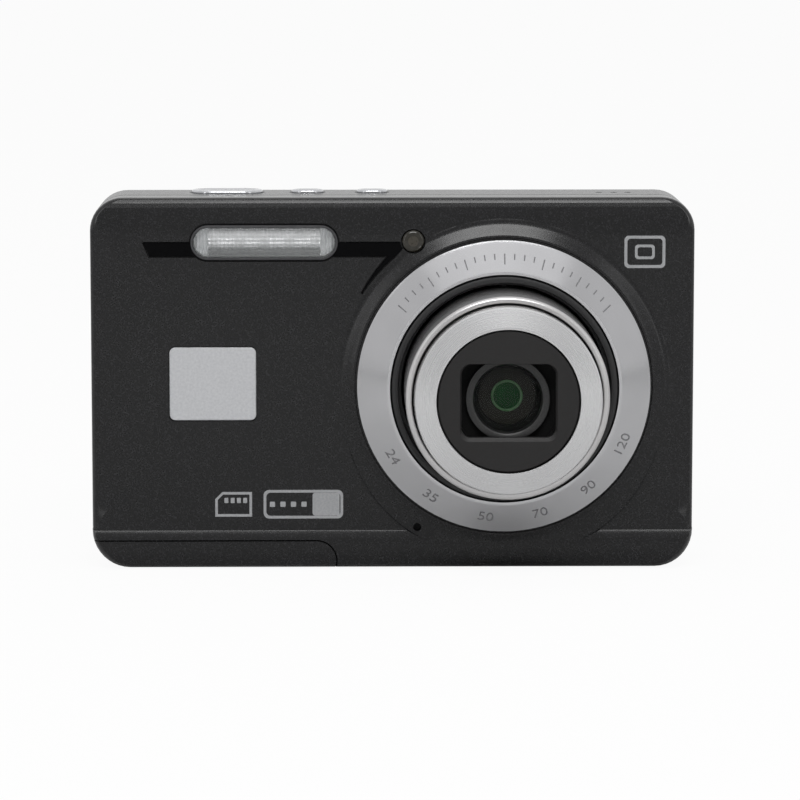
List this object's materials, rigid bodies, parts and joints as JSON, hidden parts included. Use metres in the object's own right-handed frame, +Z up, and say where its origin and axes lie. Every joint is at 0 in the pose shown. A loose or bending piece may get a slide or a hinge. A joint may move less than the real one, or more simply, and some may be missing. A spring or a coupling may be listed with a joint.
{
  "type": "compact digital camera",
  "caption": "Pocket digital camera with a retracting zoom lens, lens barrier blades, flash, rear screen, sprung keys and a hinged battery door.",
  "frame": {"origin": "middle of the flat underside", "axes": "+Z up, -Y towards the subject in front of the lens, +X to the right seen from the front"},
  "size_m": [0.0914, 0.0382, 0.0569],
  "materials": {
    "charcoal_shell": "satin metallic-flake paint",
    "gloss_black_trim": "gloss",
    "black_plastic": "matte",
    "barrier_blade": "matte",
    "satin_silver": "satin",
    "bright_silver": "plated",
    "steel": "bare",
    "reflector": "polished",
    "optical_glass": "coated",
    "clear_plastic": "clear",
    "circuit_board": "lacquered",
    "latch_orange": "moulded"
  },
  "bodies": {
    "camera_body": {"front_cover": "charcoal_shell", "rear_cover": "charcoal_shell", "flash_trim": "gloss_black_trim", "lcd_window": "gloss_black_trim", "lens_lip": "black_plastic", "lens_housing": "black_plastic", "gear_case": "black_plastic", "battery_box": "black_plastic", "strap_lug": "black_plastic", "battery": "black_plastic", "memory_card": "black_plastic", "lcd_panel": "black_plastic", "lens_ring": "satin_silver", "badge_plate": "bright_silver", "main_chassis": "steel", "sensor_plate": "steel", "zoom_motor": "steel", "flash_capacitor": "steel", "microphone": "steel", "speaker": "steel", "card_socket": "steel", "usb_socket": "steel", "tripod_bush": "steel", "flash_reflector": "reflector", "flash_tube": "optical_glass", "image_sensor": "optical_glass", "flash_window": "clear_plastic", "af_lamp_window": "clear_plastic", "main_board": "circuit_board", "key_board": "circuit_board"},
    "cam_ring": {"cam_ring": "black_plastic"},
    "outer_barrel": {"zoom_barrel_outer": "satin_silver"},
    "inner_barrel": {"zoom_barrel_inner": "satin_silver", "front_ring": "satin_silver", "front_plate": "black_plastic", "barrier_carrier": "black_plastic", "front_lens": "optical_glass", "lens_retainer": "black_plastic", "front_lens_cell": "black_plastic", "iris_plate": "black_plastic", "zoom_lens": "optical_glass"},
    "barrier_upper_main": {"barrier_upper_main": "barrier_blade"},
    "barrier_upper_second": {"barrier_upper_second": "barrier_blade"},
    "barrier_lower_main": {"barrier_lower_main": "barrier_blade"},
    "barrier_lower_second": {"barrier_lower_second": "barrier_blade"},
    "focus_group": {"focus_lens": "optical_glass"},
    "hinge_pin": {"door_hinge_pin": "steel"},
    "battery_door": {"battery_door": "charcoal_shell"},
    "battery_latch": {"battery_latch": "latch_orange"},
    "shutter_button": {"shutter_button": "bright_silver"},
    "power_button": {"power_button": "bright_silver"},
    "mode_button": {"mode_button": "bright_silver"},
    "record_button": {"record_button": "black_plastic"},
    "menu_button": {"menu_button": "black_plastic"},
    "play_button": {"play_button": "black_plastic"},
    "delete_button": {"delete_button": "black_plastic"},
    "ok_button": {"ok_button": "black_plastic"},
    "zoom_rocker": {"zoom_rocker": "bright_silver"},
    "nav_dome": {"nav_dome": "steel"},
    "nav_pad": {"nav_pad": "black_plastic"}
  },
  "joints": [
    {"name": "lens_retract", "type": "slide", "parent": "camera_body", "child": "outer_barrel", "axis": [0, 1, 0], "range_m": [0, 0.011]},
    {"name": "cam_turn", "type": "hinge", "parent": "camera_body", "child": "cam_ring", "pos_m": [0.0168, -0.009, 0.028], "axis": [0, 1, 0], "range_deg": [0, 75]},
    {"name": "inner_slide", "type": "slide", "parent": "outer_barrel", "child": "inner_barrel", "axis": [0, 1, 0], "range_m": [0, 0.0038]},
    {"name": "blade_upper_main", "type": "hinge", "parent": "inner_barrel", "child": "barrier_upper_main", "pos_m": [0.02505, -0.0267, 0.035], "axis": [0, -1, 0], "range_deg": [0, 33.52]},
    {"name": "blade_upper_second", "type": "hinge", "parent": "inner_barrel", "child": "barrier_upper_second", "pos_m": [0.02505, -0.0267, 0.035], "axis": [0, -1, 0], "range_deg": [0, 22.5]},
    {"name": "blade_lower_main", "type": "hinge", "parent": "inner_barrel", "child": "barrier_lower_main", "pos_m": [0.00855, -0.0267, 0.021], "axis": [0, -1, 0], "range_deg": [0, 33.52]},
    {"name": "blade_lower_second", "type": "hinge", "parent": "inner_barrel", "child": "barrier_lower_second", "pos_m": [0.00855, -0.0267, 0.021], "axis": [0, -1, 0], "range_deg": [0, 22.5]},
    {"name": "focus_slide", "type": "slide", "parent": "camera_body", "child": "focus_group", "axis": [0, -1, 0], "range_m": [0, 0.0008]},
    {"name": "door_swing", "type": "hinge", "parent": "camera_body", "child": "hinge_pin", "pos_m": [-0.0116, 0, 0.0012], "axis": [0, -1, 0], "range_deg": [0, 95]},
    {"name": "door_slide", "type": "slide", "parent": "hinge_pin", "child": "battery_door", "axis": [-1, 0, 0], "range_m": [0, 0.0015]},
    {"name": "latch_swing", "type": "hinge", "parent": "camera_body", "child": "battery_latch", "pos_m": [-0.0406, 0.0008, 0.0037], "axis": [0, 0, 1], "range_deg": [0, 65], "stiffness_Nm_per_rad": 0.002},
    {"name": "shutter_press", "type": "slide", "parent": "camera_body", "child": "shutter_button", "axis": [0, 0, -1], "range_m": [0, 0.0008], "stiffness_N_per_m": 600},
    {"name": "power_press", "type": "slide", "parent": "camera_body", "child": "power_button", "axis": [0, 0, -1], "range_m": [0, 0.0004], "stiffness_N_per_m": 800},
    {"name": "mode_press", "type": "slide", "parent": "camera_body", "child": "mode_button", "axis": [0, 0, -1], "range_m": [0, 0.0004], "stiffness_N_per_m": 800},
    {"name": "record_press", "type": "slide", "parent": "camera_body", "child": "record_button", "axis": [0, -1, 0], "range_m": [0, 0.0004], "stiffness_N_per_m": 800},
    {"name": "menu_press", "type": "slide", "parent": "camera_body", "child": "menu_button", "axis": [0, -1, 0], "range_m": [0, 0.0004], "stiffness_N_per_m": 800},
    {"name": "play_press", "type": "slide", "parent": "camera_body", "child": "play_button", "axis": [0, -1, 0], "range_m": [0, 0.0004], "stiffness_N_per_m": 800},
    {"name": "delete_press", "type": "slide", "parent": "camera_body", "child": "delete_button", "axis": [0, -1, 0], "range_m": [0, 0.0004], "stiffness_N_per_m": 800},
    {"name": "ok_press", "type": "slide", "parent": "camera_body", "child": "ok_button", "axis": [0, -1, 0], "range_m": [0, 0.0003], "stiffness_N_per_m": 800},
    {"name": "zoom_tilt", "type": "hinge", "parent": "camera_body", "child": "zoom_rocker", "pos_m": [-0.0295, 0.0075, 0.0485], "axis": [0, 0, 1], "range_deg": [-4, 4], "stiffness_Nm_per_rad": 0.02},
    {"name": "pad_tilt_updown", "type": "hinge", "parent": "camera_body", "child": "nav_dome", "pos_m": [-0.0295, 0.0075, 0.0223], "axis": [1, 0, 0], "range_deg": [-2.5, 2.5], "stiffness_Nm_per_rad": 0.03},
    {"name": "pad_tilt_sideways", "type": "hinge", "parent": "nav_dome", "child": "nav_pad", "pos_m": [-0.0295, 0.0075, 0.0223], "axis": [0, 0, 1], "range_deg": [-2.5, 2.5], "stiffness_Nm_per_rad": 0.03}
  ],
  "couplings": [
    {"joint": "cam_turn", "follows": "lens_retract", "rad_per_m": 118.99},
    {"joint": "inner_slide", "follows": "lens_retract", "ratio": 0.3454},
    {"joint": "blade_upper_main", "follows": "lens_retract", "rad_per_m": 53.18},
    {"joint": "blade_upper_second", "follows": "lens_retract", "rad_per_m": 35.69},
    {"joint": "blade_lower_main", "follows": "lens_retract", "rad_per_m": 53.18},
    {"joint": "blade_lower_second", "follows": "lens_retract", "rad_per_m": 35.69}
  ]
}
